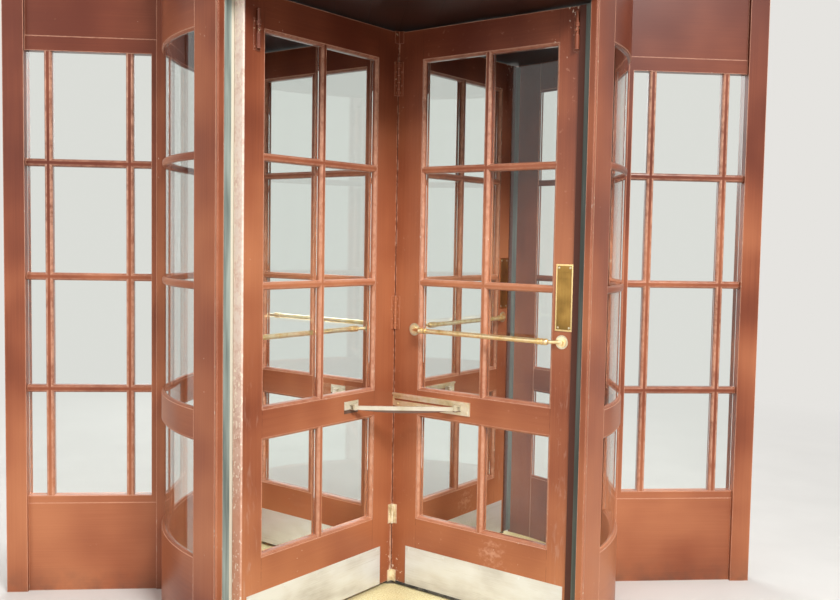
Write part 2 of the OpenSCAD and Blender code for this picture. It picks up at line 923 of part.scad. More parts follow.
floor_disc();
floor_bearing();
soffit_board();
top_bearing();
roof_board();
front_fascia();
rear_fascia();
left_front_post();
left_rear_post();
right_front_post();
right_rear_post();
left_jamb_post();
right_jamb_post();
left_front_rails();
left_rear_rails();
right_front_rails();
right_rear_rails();
left_front_glass();
left_rear_glass();
right_front_glass();
right_rear_glass();
left_screen_frame();
left_screen_glass();
left_screen_panels();
right_screen_frame();
right_screen_glass();
right_screen_panels();
hub_post();
hub_shoes();
wing_1_frame();
wing_2_frame();
wing_3_frame();
wing_4_frame();
wing_1_glass();
wing_2_glass();
wing_3_glass();
wing_4_glass();
kickplates();
edge_seals();
bottom_sweeps();
push_bars();
push_plates();
stay_tracks();
stay_arms();
hinges();
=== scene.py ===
import math

import bpy
from mathutils import Matrix, Vector


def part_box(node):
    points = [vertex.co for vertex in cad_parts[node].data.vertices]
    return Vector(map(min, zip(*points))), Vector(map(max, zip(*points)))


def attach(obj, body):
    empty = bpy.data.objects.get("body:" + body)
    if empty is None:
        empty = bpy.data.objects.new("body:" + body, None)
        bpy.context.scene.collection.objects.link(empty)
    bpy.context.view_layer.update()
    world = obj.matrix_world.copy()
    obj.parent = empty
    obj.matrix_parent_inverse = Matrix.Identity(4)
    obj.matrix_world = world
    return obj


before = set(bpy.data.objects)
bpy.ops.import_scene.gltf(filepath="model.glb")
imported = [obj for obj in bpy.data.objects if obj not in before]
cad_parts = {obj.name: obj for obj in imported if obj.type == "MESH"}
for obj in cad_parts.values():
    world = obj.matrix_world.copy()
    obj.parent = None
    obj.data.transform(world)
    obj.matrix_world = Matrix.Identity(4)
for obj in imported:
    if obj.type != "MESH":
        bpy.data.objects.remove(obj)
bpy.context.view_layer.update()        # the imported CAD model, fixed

print("frame loaded:", len(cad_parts), "nodes")

# the door's own layout, in metres, as the CAD model has it
door = {
    "wings": 4,
    "wingTurn": 227.5,        # degrees from +X to the first wing
    "wingHalf": 0.022,        # middle of a wing's thickness to its face
    "hubFace": 0.0223,        # turning axis to the inner edge of a wing
    "innerArris": 0.138,      # the glazed edges of the two stiles
    "outerArris": 0.708,
    "stayMiddle": 0.734,      # height of the stays
}


def wingAngle(index):
    return math.radians(door["wingTurn"] + 360 * index / door["wings"])


def linear(hexText):
    # sRGB hex to the linear colour that the shader wants
    channels = [int(hexText[i:i + 2], 16) / 255 for i in (1, 3, 5)]
    return [c / 12.92 if c <= 0.04045 else ((c + 0.055) / 1.055) ** 2.4 for c in channels] + [1.0]


def setNode(tree, node, settings=None, links=None):
    # settings are attributes, or sockets by name or number; a linked node gives its first output
    for key, value in (settings or {}).items():
        if isinstance(key, str) and hasattr(node, key):
            setattr(node, key, value)
        else:
            node.inputs[key].default_value = value
    for key, source in (links or {}).items():
        tree.links.new(source.outputs[0] if isinstance(source, bpy.types.Node) else source, node.inputs[key])
    return node


def addNode(tree, kind, settings=None, links=None):
    return setNode(tree, tree.nodes.new("ShaderNode" + kind), settings, links)


def newMaterial(name):
    material = bpy.data.materials.new(name)
    material.use_nodes = True
    tree = material.node_tree
    tree.nodes.clear()
    shader = addNode(tree, "BsdfPrincipled")
    addNode(tree, "OutputMaterial", None, {"Surface": shader})
    coords = addNode(tree, "TexCoord").outputs["Object"]
    return material, tree, shader, coords


def setStops(ramp, stops):
    elements = ramp.color_ramp.elements
    while len(elements) < len(stops):
        elements.new(0.5)
    for element, (place, colour) in zip(elements, stops):
        element.position = place
        element.color = linear(colour)


def overlap(tree, *masks):
    # 1 only where every mask is 1
    whole = masks[0]
    for mask in masks[1:]:
        whole = addNode(tree, "Math", {"operation": "MULTIPLY"}, {0: whole, 1: mask})
    return whole


def bandMask(tree, value, low, high):
    # 1 between two limits and 0 outside them
    above = addNode(tree, "Math", {"operation": "GREATER_THAN", 1: low}, {0: value})
    below = addNode(tree, "Math", {"operation": "LESS_THAN", 1: high}, {0: value})
    return overlap(tree, above, below)


def arrisMask(tree, radius, limit):
    # 1 on an arris, where the rounded normal leaves the true one
    rounded = addNode(tree, "Bevel", {"samples": 4, "Radius": radius})
    normal = addNode(tree, "NewGeometry").outputs["Normal"]
    match = addNode(tree, "VectorMath", {"operation": "DOT_PRODUCT"}, {0: rounded, 1: normal})
    return addNode(tree, "MapRange", {"From Min": 1.0, "From Max": limit}, {"Value": match.outputs["Value"]})


def layColours(tree, colour, layers):
    # each layer is a colour and the mask that it shows in
    for hexText, mask in layers:
        mix = addNode(tree, "Mix", {"data_type": "RGBA", 7: linear(hexText)}, {0: mask, 6: colour})
        colour = mix.outputs[2]
    return colour


# Oil gloss paint, iron-oxide brown, brushed over softwood: a skin with brush marks along each
# board, faded in clouds where the sun reaches, deeper high up (partly less fading, partly painted
# shade), pale on every arris and moulding (partly rubbed to a pinkish undercoat, partly painted
# highlight), chipped where it is knocked, and with a little dirt next to the floor.
paintSettings = {
    "deep": "#5e2a1b", "mid": "#924d31", "faded": "#bf7a52",
    "undercoat": "#dba68a", "primer": "#e6d5c6", "chip": "#ead9c4", "dirt": "#56453a",
    "markWidth": 0.005, "markLength": 0.3, "cloudSize": 0.5, "rubSize": 0.03, "arrisRadius": 0.005,
    "chipSize": 0.008, "knockSize": 0.15, "dirtSize": 0.05, "dirtHeight": (0.1, 0.005),
    # lower and upper height in metres between which the tone drops, and what it drops from and to:
    # partly less sun fading, partly painted shade of the sheltered upper parts; the wings' lift is partly
    # painted sunlight
    "fadingAndShade": {
        "wing": (1.2, 2.1, 0.08, -0.24),
        "post": (1.2, 2.1, 0.0, -0.24),
        "screen": (0.6, 1.9, 0.0, -0.28),
    },
    # where the grain of the chips is cut off: few on the screens, which nobody pushes
    "chipLimit": {"wing": 0.935, "post": 0.935, "screen": 0.965},
}


def brushMarks(tree, vector, along):
    across, length = 1 / paintSettings["markWidth"], 1 / paintSettings["markLength"]
    scale = (across, across, length) if along == "up" else (length, length, across)
    stretched = addNode(tree, "Mapping", {"Scale": scale}, {"Vector": vector})
    return addNode(tree, "TexNoise", {"Scale": 1.0, "Detail": 3.0}, {"Vector": stretched})


def paintTone(tree, vector, marks, part):
    # the paint's colour: deeper high up, partly where less sun fades it and partly painted shade
    p = paintSettings
    low, high, start, end = p["fadingAndShade"][part]
    height = addNode(tree, "SeparateXYZ", None, {"Vector": vector}).outputs["Z"]
    cloud = addNode(tree, "TexNoise", {"Scale": 1 / p["cloudSize"], "Detail": 2.5}, {"Vector": vector})
    brushed = addNode(tree, "Math", {"operation": "MULTIPLY_ADD", 1: 0.12}, {0: marks, 2: cloud})
    # darker with height: partly less fading, partly painted shade
    shelterFadeAndShade = addNode(tree, "MapRange", {"From Min": low, "From Max": high, "To Min": start, "To Max": end},
                      {"Value": height})
    toneWithShade = addNode(tree, "Math", {"operation": "ADD"}, {0: brushed, 1: shelterFadeAndShade})
    tone = addNode(tree, "ValToRGB", None, {0: toneWithShade})
    tone.color_ramp.interpolation = "B_SPLINE"
    setStops(tone, [(0.26, p["deep"]), (0.5, p["mid"]), (0.8, p["faded"])])
    return tone.outputs[0], cloud


# Where a wing is worn, in metres from the turning axis (reach) and from the floor (height). A pair
# runs from where the wear begins to where it is full, but scuffReach is the two sides of a band.
# A knock is such a pair and its strength, and knockNose is a strength alone.
wearSettings = {
    "joint": "#33170e", "jointWidth": 0.0009,
    # widths from the inner edge of the wing
    "hubCornerDirtAndShade": "#5c2f20", "hubCornerDirtAndShadeWidth": 0.0022, "cornerWidth": 0.0055,
    "heel": "#ecd0b8", "heelWidth": 0.0125, "heelHeight": (0.4, 0.1),
    "nose": (0.7905, 0.7935), "noseHeight": (0.3, 1.1), "primerHeight": (0.45, 1.1),
    "scuff": "#c49f8c", "scuffReach": (0.725, 0.785), "scuffHeight": (1.0, 0.8),
    "scuffScale": (60.0, 60.0, 12.0),         # streaks 17 mm wide and 80 mm long
    "kickSpot": (0.485, 0.0, 0.225),          # reach and height, with nothing between them
    "kickRadius": 0.08,
    "kickScale": (45.0, 45.0, 55.0),          # grains of about 20 mm
    "knockNose": 0.17, "knockHead": (1.9, 2.08, 0.14), "knockStile": (0.725, 0.745, 1.0),
    "knockHeel": (0.25, 0.03, 0.16), "knockCorner": (0.1, 0.05, 1.0),
}


def jointMask(tree, reach, rub):
    # the joints between stiles and rails, where the paint hasn't bridged them
    inner, outer, width = door["innerArris"], door["outerArris"], wearSettings["jointWidth"]
    innerLine = bandMask(tree, reach, inner, inner + width)
    outerLine = bandMask(tree, reach, outer - width, outer)
    lines = addNode(tree, "Math", {"operation": "ADD", "use_clamp": True}, {0: innerLine, 1: outerLine})
    broken = addNode(tree, "MapRange", {"From Min": 0.38, "From Max": 0.55}, {"Value": rub})
    return overlap(tree, lines, broken)


def noseWear(tree, nose, height, rub):
    # the nose is rubbed to its undercoat and on to its primer, least near the foot
    low, high = wearSettings["noseHeight"]
    rubHigh = addNode(tree, "MapRange", {"From Min": low, "From Max": high, "To Min": 0.4},
                      {"Value": height})
    rubGrain = addNode(tree, "MapRange", {"From Min": 0.3, "From Max": 0.56, "To Min": 0.5, "To Max": 1.0},
                       {"Value": rub})
    low, high = wearSettings["primerHeight"]
    primerHigh = addNode(tree, "MapRange", {"From Min": low, "From Max": high, "To Min": 0.1},
                         {"Value": height})
    primerGrain = addNode(tree, "MapRange", {"From Min": 0.36, "From Max": 0.56, "To Min": 0.5,
                                             "To Max": 0.95}, {"Value": rub})
    return [(paintSettings["undercoat"], overlap(tree, nose, rubHigh, rubGrain)),
            (paintSettings["primer"], overlap(tree, nose, primerHigh, primerGrain))]


def hubWear(tree, reach, height, rub, outward):
    # the arris beside the hub is rubbed, and its foot is worn pale on the leading face
    w = wearSettings
    lineEnd = door["hubFace"] + w["hubCornerDirtAndShadeWidth"]
    edge = bandMask(tree, reach, lineEnd, door["hubFace"] + w["cornerWidth"])
    edgeGrain = addNode(tree, "MapRange", {"From Min": 0.46, "From Max": 0.6}, {"Value": rub})
    heel = bandMask(tree, reach, lineEnd, door["hubFace"] + w["heelWidth"])
    leads = addNode(tree, "Math", {"operation": "GREATER_THAN", 1: 0.5}, {0: outward})
    start, full = w["heelHeight"]
    heelLow = addNode(tree, "MapRange", {"From Min": start, "From Max": full}, {"Value": height})
    heelGrain = addNode(tree, "MapRange", {"From Min": 0.62, "From Max": 0.36}, {"Value": rub})
    return [(paintSettings["undercoat"], overlap(tree, edge, edgeGrain)),
            (w["heel"], overlap(tree, heel, leads, heelLow, heelGrain))]


def scuffWear(tree, vector, reach, height):
    # hands and bags leave pale streaks on the outer stile, below the push bar
    w = wearSettings
    stretched = addNode(tree, "Mapping", {"Scale": w["scuffScale"]}, {"Vector": vector})
    smears = addNode(tree, "TexNoise", {"Scale": 1.0, "Detail": 5.0, "Distortion": 1.2},
                     {"Vector": stretched})
    streaks = addNode(tree, "MapRange", {"From Min": 0.55, "From Max": 0.7, "To Max": 0.3},
                      {"Value": smears})
    start, full = w["scuffHeight"]
    low = addNode(tree, "MapRange", {"From Min": start, "From Max": full}, {"Value": height})
    return [(w["scuff"], overlap(tree, bandMask(tree, reach, *w["scuffReach"]), low, streaks))]


def kickWear(tree, vector, reach, height, outward):
    # shoes wear the middle of the bottom rail on the pushed face, above the kick sheet
    w = wearSettings
    place = addNode(tree, "CombineXYZ", None, {0: reach, 2: height})
    apart = addNode(tree, "VectorMath", {"operation": "DISTANCE", 1: w["kickSpot"]}, {0: place})
    near = addNode(tree, "MapRange", {"From Min": w["kickRadius"], "From Max": 0.0, "To Max": 0.3},
                   {"Value": apart.outputs["Value"]})
    stretched = addNode(tree, "Mapping", {"Scale": w["kickScale"]}, {"Vector": vector})
    noise = addNode(tree, "TexNoise", {"Scale": 1.0, "Detail": 6.0, "Roughness": 0.6}, {"Vector": stretched})
    nearer = addNode(tree, "Math", {"operation": "ADD"}, {0: near, 1: noise})
    worn = addNode(tree, "MapRange", {"From Min": 0.62, "From Max": 0.86, "To Max": 0.6}, {"Value": nearer})
    pushed = addNode(tree, "Math", {"operation": "LESS_THAN", 1: -0.5}, {0: outward})
    return [(paintSettings["undercoat"], overlap(tree, pushed, worn))]


def wingKnocks(tree, nose, reach, height):
    # a wing is knocked on all of its nose, the head of its outer stile and the foot of its inner one
    places = []
    for key, value in (("knockHead", height), ("knockStile", reach), ("knockHeel", height),
                       ("knockCorner", reach)):
        start, full, most = wearSettings[key]
        places.append(addNode(tree, "MapRange", {"From Min": start, "From Max": full, "To Max": most},
                              {"Value": value}))
    head, stile, heel, corner = places
    both = addNode(tree, "Math", {"operation": "MULTIPLY_ADD"},
                   {0: heel, 1: corner, 2: overlap(tree, head, stile)})
    return addNode(tree, "Math", {"operation": "MULTIPLY_ADD", 1: wearSettings["knockNose"]},
                   {0: nose, 2: both})


def wingWear(tree, vector, reach, height, rub, outward):
    # the layers of wear of a wing, from the lowest, and where it is knocked
    w = wearSettings
    start, full = w["nose"]
    nose = addNode(tree, "MapRange", {"From Min": start, "From Max": full}, {"Value": reach})
    layers = noseWear(tree, nose, height, rub) + hubWear(tree, reach, height, rub, outward)
    layers += scuffWear(tree, vector, reach, height) + kickWear(tree, vector, reach, height, outward)
    # a dark line in the corner at the hub, where the wings meet: partly dirt, partly painted shade
    hubCornerDirtAndShade = bandMask(tree, reach, 0.0, door["hubFace"] + w["hubCornerDirtAndShadeWidth"])
    layers += [(w["joint"], jointMask(tree, reach, rub)), (w["hubCornerDirtAndShade"], hubCornerDirtAndShade)]
    return layers, wingKnocks(tree, nose, reach, height)


def mouldWearAndHighlightMask(tree, faced):
    # 1 on the slanted faces of the mouldings, by the surface's direction in the piece's own frame;
    #     # pale there, partly wear and partly painted highlight
    outward = addNode(tree, "Math", {"operation": "ABSOLUTE"}, {0: faced.outputs["Y"]})
    # the upright ones are paler than the level ones: a painted highlight, as they catch more light
    level = addNode(tree, "Math", {"operation": "ABSOLUTE"}, {0: faced.outputs["Z"]})
    weight = addNode(tree, "MapRange", {"From Max": 0.3, "To Min": 1.0, "To Max": 0.4}, {"Value": level})
    return overlap(tree, bandMask(tree, outward, 0.15, 0.97), weight)


def railMask(tree, reach, height, part):
    # 1 on the rails, where brush marks run level: between the stiles of a wing or a side screen
    if part == "wing":
        return bandMask(tree, reach, door["innerArris"], door["outerArris"])
    low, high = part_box("right_screen_glass")
    across = addNode(tree, "Math", {"operation": "ABSOLUTE"}, {0: reach})
    pane = bandMask(tree, height, low[2], high[2])
    beyond = addNode(tree, "Math", {"operation": "SUBTRACT", 0: 1.0}, {1: pane})
    return overlap(tree, bandMask(tree, across, low[0], high[0]), beyond)


def rubbedAndHighlightMask(tree, arris, rub, faced):
    # 1 where the paint is pale: on arrises and, given their direction, on mouldings; partly rubbed thin,
    #     # partly painted highlight
    worn = overlap(tree, arris, rub)
    rubbedAndHighlit = addNode(tree, "MapRange", {"From Min": 0.12, "From Max": 0.42, "To Max": 0.85}, {"Value": worn})
    if faced is None:
        return rubbedAndHighlit
    mouldGrain = addNode(tree, "MapRange", {"From Min": 0.35, "From Max": 0.6, "To Min": 0.15, "To Max": 0.65},
                   {"Value": rub})
    mouldWearAndHighlight = overlap(tree, mouldWearAndHighlightMask(tree, faced), mouldGrain)
    return addNode(tree, "Math", {"operation": "MAXIMUM"}, {0: rubbedAndHighlit, 1: mouldWearAndHighlight})


def chipMask(tree, vector, arris, knock, part):
    # 1 in the chips: grains longer than wide, more of them where the wood is knocked and on arrises
    p = paintSettings
    size, limit = 1 / p["chipSize"], p["chipLimit"][part]
    stretched = addNode(tree, "Mapping", {"Scale": (size, size, size * 0.55)}, {"Vector": vector})
    grain = addNode(tree, "TexNoise", {"Scale": 1.0, "Detail": 3.0, "Roughness": 0.6}, {"Vector": stretched})
    place = addNode(tree, "TexNoise", {"Scale": 1 / p["knockSize"], "Detail": 2.0}, {"Vector": vector})
    placed = addNode(tree, "Math", {"operation": "MULTIPLY_ADD", 1: 0.32}, {0: place, 2: grain})
    edged = addNode(tree, "Math", {"operation": "MULTIPLY_ADD", 1: 0.12}, {0: arris, 2: placed})
    struck = addNode(tree, "Math", {"operation": "ADD"}, {0: edged, 1: knock})
    return addNode(tree, "MapRange", {"From Min": limit, "From Max": limit + 0.015}, {"Value": struck})


def dirtMask(tree, vector, height):
    # 1 in the dirt next to the floor
    p = paintSettings
    start, full = p["dirtHeight"]
    noise = addNode(tree, "TexNoise", {"Scale": 1 / p["dirtSize"], "Detail": 6.0}, {"Vector": vector})
    patches = addNode(tree, "MapRange", {"From Min": 0.3, "From Max": 0.7, "To Max": 0.5}, {"Value": noise})
    nearFloor = addNode(tree, "MapRange", {"From Min": start, "From Max": full}, {"Value": height})
    return overlap(tree, nearFloor, patches)


def glossPaint(name, part, turn=0.0, grain="up"):
    material, tree, shader, coords = newMaterial(name)
    p = paintSettings
    # the place and the surface's direction, in a wing's own frame
    turned = {"Rotation": (0, 0, -turn)}
    vector = addNode(tree, "Mapping", turned, {"Vector": coords}).outputs[0]
    place = addNode(tree, "SeparateXYZ", None, {"Vector": vector})
    reach, height = place.outputs["X"], place.outputs["Z"]
    direction = addNode(tree, "Mapping", turned, {"Vector": coords.node.outputs["Normal"]})
    faced = addNode(tree, "SeparateXYZ", None, {"Vector": direction})
    moulded = grain == "up" and part != "post"
    marks = brushMarks(tree, vector, grain)
    if moulded:
        onRail = railMask(tree, reach, height, part)
        marks = addNode(tree, "Mix", None, {0: onRail, 2: marks, 3: brushMarks(tree, vector, "level")})
    colour, cloud = paintTone(tree, vector, marks, part)
    rub = addNode(tree, "TexNoise", {"Scale": 1 / p["rubSize"], "Detail": 6.0, "Roughness": 0.7},
                  {"Vector": vector})
    arris = arrisMask(tree, p["arrisRadius"], 0.86)
    # pale arrises and mouldings: partly the rubbed undercoat, partly a painted highlight
    layers = [(p["undercoat"], rubbedAndHighlightMask(tree, arris, rub, faced if moulded else None))]
    knock = addNode(tree, "MapRange", {"From Min": 0.5, "From Max": 0.03, "To Max": 0.03}, {"Value": height})
    if part == "wing":
        wingLayers, wingKnock = wingWear(tree, vector, reach, height, rub, faced.outputs["Y"])
        layers += wingLayers
        knock = addNode(tree, "Math", {"operation": "ADD"}, {0: knock, 1: wingKnock})
    chip = chipMask(tree, vector, arris, knock, part)
    dirt = dirtMask(tree, vector, height)
    layers += [(p["chip"], chip), (p["dirt"], dirt)]
    dull = addNode(tree, "Math", {"operation": "MAXIMUM"}, {0: dirt, 1: chip})
    gloss = addNode(tree, "MapRange", {"From Min": 0.3, "From Max": 0.75, "To Min": 0.29, "To Max": 0.42},
                    {"Value": cloud})
    rough = addNode(tree, "Mix", {3: 0.7}, {0: dull, 2: gloss})
    relief = addNode(tree, "Math", {"operation": "MULTIPLY_ADD", 1: -1.5}, {0: chip, 2: marks})
    bump = addNode(tree, "Bump", {"Strength": 0.2, "Distance": 0.0003}, {"Height": relief})
    setNode(tree, shader, {"IOR": 1.48, "Specular IOR Level": 0.34},
            {"Base Color": layColours(tree, colour, layers), "Roughness": rough, "Normal": bump})
    return material


# Dark brown oil paint on boards, sheltered and dull, with the joints of the boards just showing.
soffitSettings = {
    "deep": "#25110b", "mid": "#3a1d13", "cloudSize": 0.33,
    "joint": "#120705", "jointHalf": 0.002, "boardWidth": 0.12,
}


def darkPaint(name, roughness):
    material, tree, shader, coords = newMaterial(name)
    s = soffitSettings
    cloud = addNode(tree, "TexNoise", {"Scale": 1 / s["cloudSize"], "Detail": 5.0}, {"Vector": coords})
    tone = addNode(tree, "ValToRGB", None, {0: cloud})
    setStops(tone, [(0.35, s["deep"]), (0.7, s["mid"])])
    across = addNode(tree, "SeparateXYZ", None, {"Vector": coords}).outputs["X"]
    board = addNode(tree, "Math", {"operation": "PINGPONG", 1: s["boardWidth"] / 2}, {0: across})
    joint = addNode(tree, "MapRange", {"From Min": s["jointHalf"], "From Max": 0.0}, {"Value": board})
    colour = layColours(tree, tone.outputs[0], [(s["joint"], joint)])
    bump = addNode(tree, "Bump", {"Strength": 0.5, "Distance": 0.001, "invert": True}, {"Height": joint})
    setNode(tree, shader, {"Roughness": roughness, "Specular IOR Level": 0.25},
            {"Base Color": colour, "Normal": bump})
    return material


# Float glass, cleaned often: clear, with smears of a cloth that dull it in arcs.
glassSettings = {"clear": "#f3f7f5", "smearSize": 0.25, "smearDull": 0.05}


def floatGlass(name):
    material, tree, shader, coords = newMaterial(name)
    s = glassSettings
    smear = addNode(tree, "TexNoise", {"Scale": 1 / s["smearSize"], "Detail": 6.0, "Distortion": 2.5},
                    {"Vector": coords})
    dull = addNode(tree, "MapRange", {"From Min": 0.56, "From Max": 0.85, "To Max": s["smearDull"]},
                   {"Value": smear})
    setNode(tree, shader, {"Base Color": linear(s["clear"]), "Transmission Weight": 1.0, "IOR": 1.52},
            {"Roughness": dull})
    return material


# Cast and drawn yellow brass, polished by hands, with clouds of tarnish and fine pits.
brassSettings = {
    "bar": {"tones": ("#fff0c8", "#efd092", "#b08c52"), "grain": 0.04, "metallic": 0.9},
    # old lacquer and wax dull the tracks, which hands don't reach
    "track": {"tones": ("#fff7e0", "#eedfb2", "#c0a670"), "grain": 0.06, "metallic": 0.7},
    "rosette": "#d5cfb8", "rosetteOut": 0.0262,
    "pitSize": 0.002,         # coarser than real, so that the pits show
}


def nearFace(tree, coords, out):
    # 1 within a distance of the middle of a wing's thickness: the wings stand square to each other
    turned = addNode(tree, "Mapping", {"Rotation": (0, 0, -wingAngle(0))}, {"Vector": coords})
    spread = addNode(tree, "VectorMath", {"operation": "ABSOLUTE"}, {0: turned})
    split = addNode(tree, "SeparateXYZ", None, {"Vector": spread})
    nearest = addNode(tree, "Math", {"operation": "MINIMUM"}, {0: split.outputs["X"], 1: split.outputs["Y"]})
    return addNode(tree, "Math", {"operation": "LESS_THAN", 1: out}, {0: nearest})


def handledBrass(name, kind):
    material, tree, shader, coords = newMaterial(name)
    s = brassSettings[kind]
    tarnish = addNode(tree, "TexNoise", {"Scale": 1 / s["grain"], "Detail": 6.0, "Roughness": 0.65},
                      {"Vector": coords})
    tone = addNode(tree, "ValToRGB", None, {0: tarnish})
    setStops(tone, [(0.38, s["tones"][0]), (0.58, s["tones"][1]), (0.8, s["tones"][2])])
    colour = tone.outputs[0]
    if kind == "bar":
        # the rosettes, which no hand rubs, have a grey bloom
        bloom = addNode(tree, "Math", {"operation": "MULTIPLY", 1: 0.8},
                        {0: nearFace(tree, coords, brassSettings["rosetteOut"])})
        colour = layColours(tree, colour, [(brassSettings["rosette"], bloom)])
    rough = addNode(tree, "MapRange", {"From Min": 0.3, "From Max": 0.8, "To Min": 0.29, "To Max": 0.5},
                    {"Value": tarnish})
    pits = addNode(tree, "TexNoise", {"Scale": 1 / brassSettings["pitSize"], "Detail": 2.0},
                   {"Vector": coords})
    bump = addNode(tree, "Bump", {"Strength": 0.12, "Distance": 0.0002}, {"Height": pits})
    setNode(tree, shader, {"Metallic": s["metallic"]},
            {"Base Color": colour, "Roughness": rough, "Normal": bump})
    return material


def fromAxis(tree, coords):
    # the level vector from the turning axis, and its length
    level = addNode(tree, "VectorMath", {"operation": "MULTIPLY", 1: (1, 1, 0)}, {0: coords})
    return level, addNode(tree, "VectorMath", {"operation": "LENGTH"}, {0: level}).outputs["Value"]


# Sheet brass, the raised border bright from polishing and the recessed field darker and olive,
# partly dulled by hands and partly painted shade, with upright polishing lines.
plateSettings = {
    "dulledAndShadedField": ("#b5904f", "#9a7840", "#735a30"), "border": "#e8cb90", "handSize": 0.09,
    "fieldReach": (0.7239, 0.7779), "fieldHeight": (1.0515, 1.2665),
    "lineScale": (900.0, 900.0, 9.0),         # lines 1 mm wide and 110 mm long, coarser than real
}


def plateBrass(name):
    material, tree, shader, coords = newMaterial(name)
    s = plateSettings
    reach = fromAxis(tree, coords)[1]
    height = addNode(tree, "SeparateXYZ", None, {"Vector": coords}).outputs["Z"]
    dulledAndShadedField = overlap(tree, bandMask(tree, reach, *s["fieldReach"]), bandMask(tree, height, *s["fieldHeight"]))
    border = addNode(tree, "Math", {"operation": "SUBTRACT", 0: 1.0}, {1: dulledAndShadedField})
    lines = addNode(tree, "Mapping", {"Scale": s["lineScale"]}, {"Vector": coords})
    polish = addNode(tree, "TexNoise", {"Scale": 1.0, "Detail": 3.0}, {"Vector": lines})
    hands = addNode(tree, "TexNoise", {"Scale": 1 / s["handSize"], "Detail": 4.0}, {"Vector": coords})
    blend = addNode(tree, "Math", {"operation": "MULTIPLY_ADD", 1: 0.3}, {0: polish, 2: hands})
    tone = addNode(tree, "ValToRGB", None, {0: blend})
    setStops(tone, [(0.45, s["dulledAndShadedField"][0]), (0.65, s["dulledAndShadedField"][1]), (0.9, s["dulledAndShadedField"][2])])
    # the darker field against the bright border is partly painted shade
    colour = layColours(tree, tone.outputs[0], [(s["border"], border)])
    rough = addNode(tree, "MapRange", {"To Min": 0.22, "To Max": 0.42}, {"Value": dulledAndShadedField})
    bump = addNode(tree, "Bump", {"Strength": 0.1, "Distance": 0.0001}, {"Height": polish})
    setNode(tree, shader, {"Metallic": 1.0}, {"Base Color": colour, "Roughness": rough, "Normal": bump})
    return material


# Steel sheet, brushed along its length, dulled and scored by shoes towards the floor.
sheetSettings = {
    "bright": "#edeff0", "mid": "#e3e2de", "dull": "#c6c1b8", "score": "#a39b8f",
    "brushScale": (7.0, 7.0, 500.0),          # lines 2 mm high, coarser than real so that they show
    "stainSize": 0.2, "stainShape": (1.0, 1.0, 2.5), "stainHeight": (0.1, 0.03),
    # thin scores, also drawn wider than real
    "scoreScale": (6.0, 6.0, 170.0), "scoreTurn": (0.3, 0.4, 0.4),
}


def scuffedSheet(name):
    material, tree, shader, coords = newMaterial(name)
    s = sheetSettings
    along = addNode(tree, "Mapping", {"Scale": s["brushScale"]}, {"Vector": coords})
    brush = addNode(tree, "TexNoise", {"Scale": 1.0, "Detail": 4.0}, {"Vector": along})
    stainMap = addNode(tree, "Mapping", {"Scale": s["stainShape"]}, {"Vector": coords})
    stain = addNode(tree, "TexNoise", {"Scale": 1 / s["stainSize"], "Detail": 4.0}, {"Vector": stainMap})
    height = addNode(tree, "SeparateXYZ", None, {"Vector": coords}).outputs["Z"]
    start, full = s["stainHeight"]
    low = addNode(tree, "MapRange", {"From Min": start, "From Max": full, "To Max": 0.12}, {"Value": height})
    streaked = addNode(tree, "Math", {"operation": "MULTIPLY_ADD", 1: 0.2}, {0: brush, 2: stain})
    aged = addNode(tree, "Math", {"operation": "ADD"}, {0: streaked, 1: low})
    tone = addNode(tree, "ValToRGB", None, {0: aged})
    setStops(tone, [(0.5, s["bright"]), (0.68, s["mid"]), (0.92, s["dull"])])
    scoreMap = addNode(tree, "Mapping", {"Rotation": s["scoreTurn"], "Scale": s["scoreScale"]},
                       {"Vector": coords})
    score = addNode(tree, "TexNoise", {"Scale": 1.0, "Detail": 1.0, "Distortion": 0.6},
                    {"Vector": scoreMap})
    scored = addNode(tree, "MapRange", {"From Min": 0.68, "From Max": 0.72, "To Max": 0.22},
                     {"Value": score})
    colour = layColours(tree, tone.outputs[0], [(s["score"], scored)])
    rough = addNode(tree, "MapRange", {"From Min": 0.4, "From Max": 0.9, "To Min": 0.32, "To Max": 0.6},
                    {"Value": aged})
    bump = addNode(tree, "Bump", {"Strength": 0.12, "Distance": 0.0002}, {"Height": brush})
    # dust and wax leave the metal only half bright
    setNode(tree, shader, {"Metallic": 0.5}, {"Base Color": colour, "Roughness": rough, "Normal": bump})
    return material


# Extruded rubber strip, weathered grey-green with a chalky bloom. Its base is painted over with
# the wing on the pushed face, and shows its cream carrier on the other side, next to the nose.
rubberSettings = {
    "deep": "#626c65", "bloom": "#99a39a", "grimeAndShade": "#343a36", "carrier": "#d2ccb8", "paint": "#512718",
    "bloomScale": (60.0, 60.0, 3.0),          # streaks 17 mm wide and 330 mm long
    "baseEnd": 0.8075,                        # turning axis to the end of the base
}


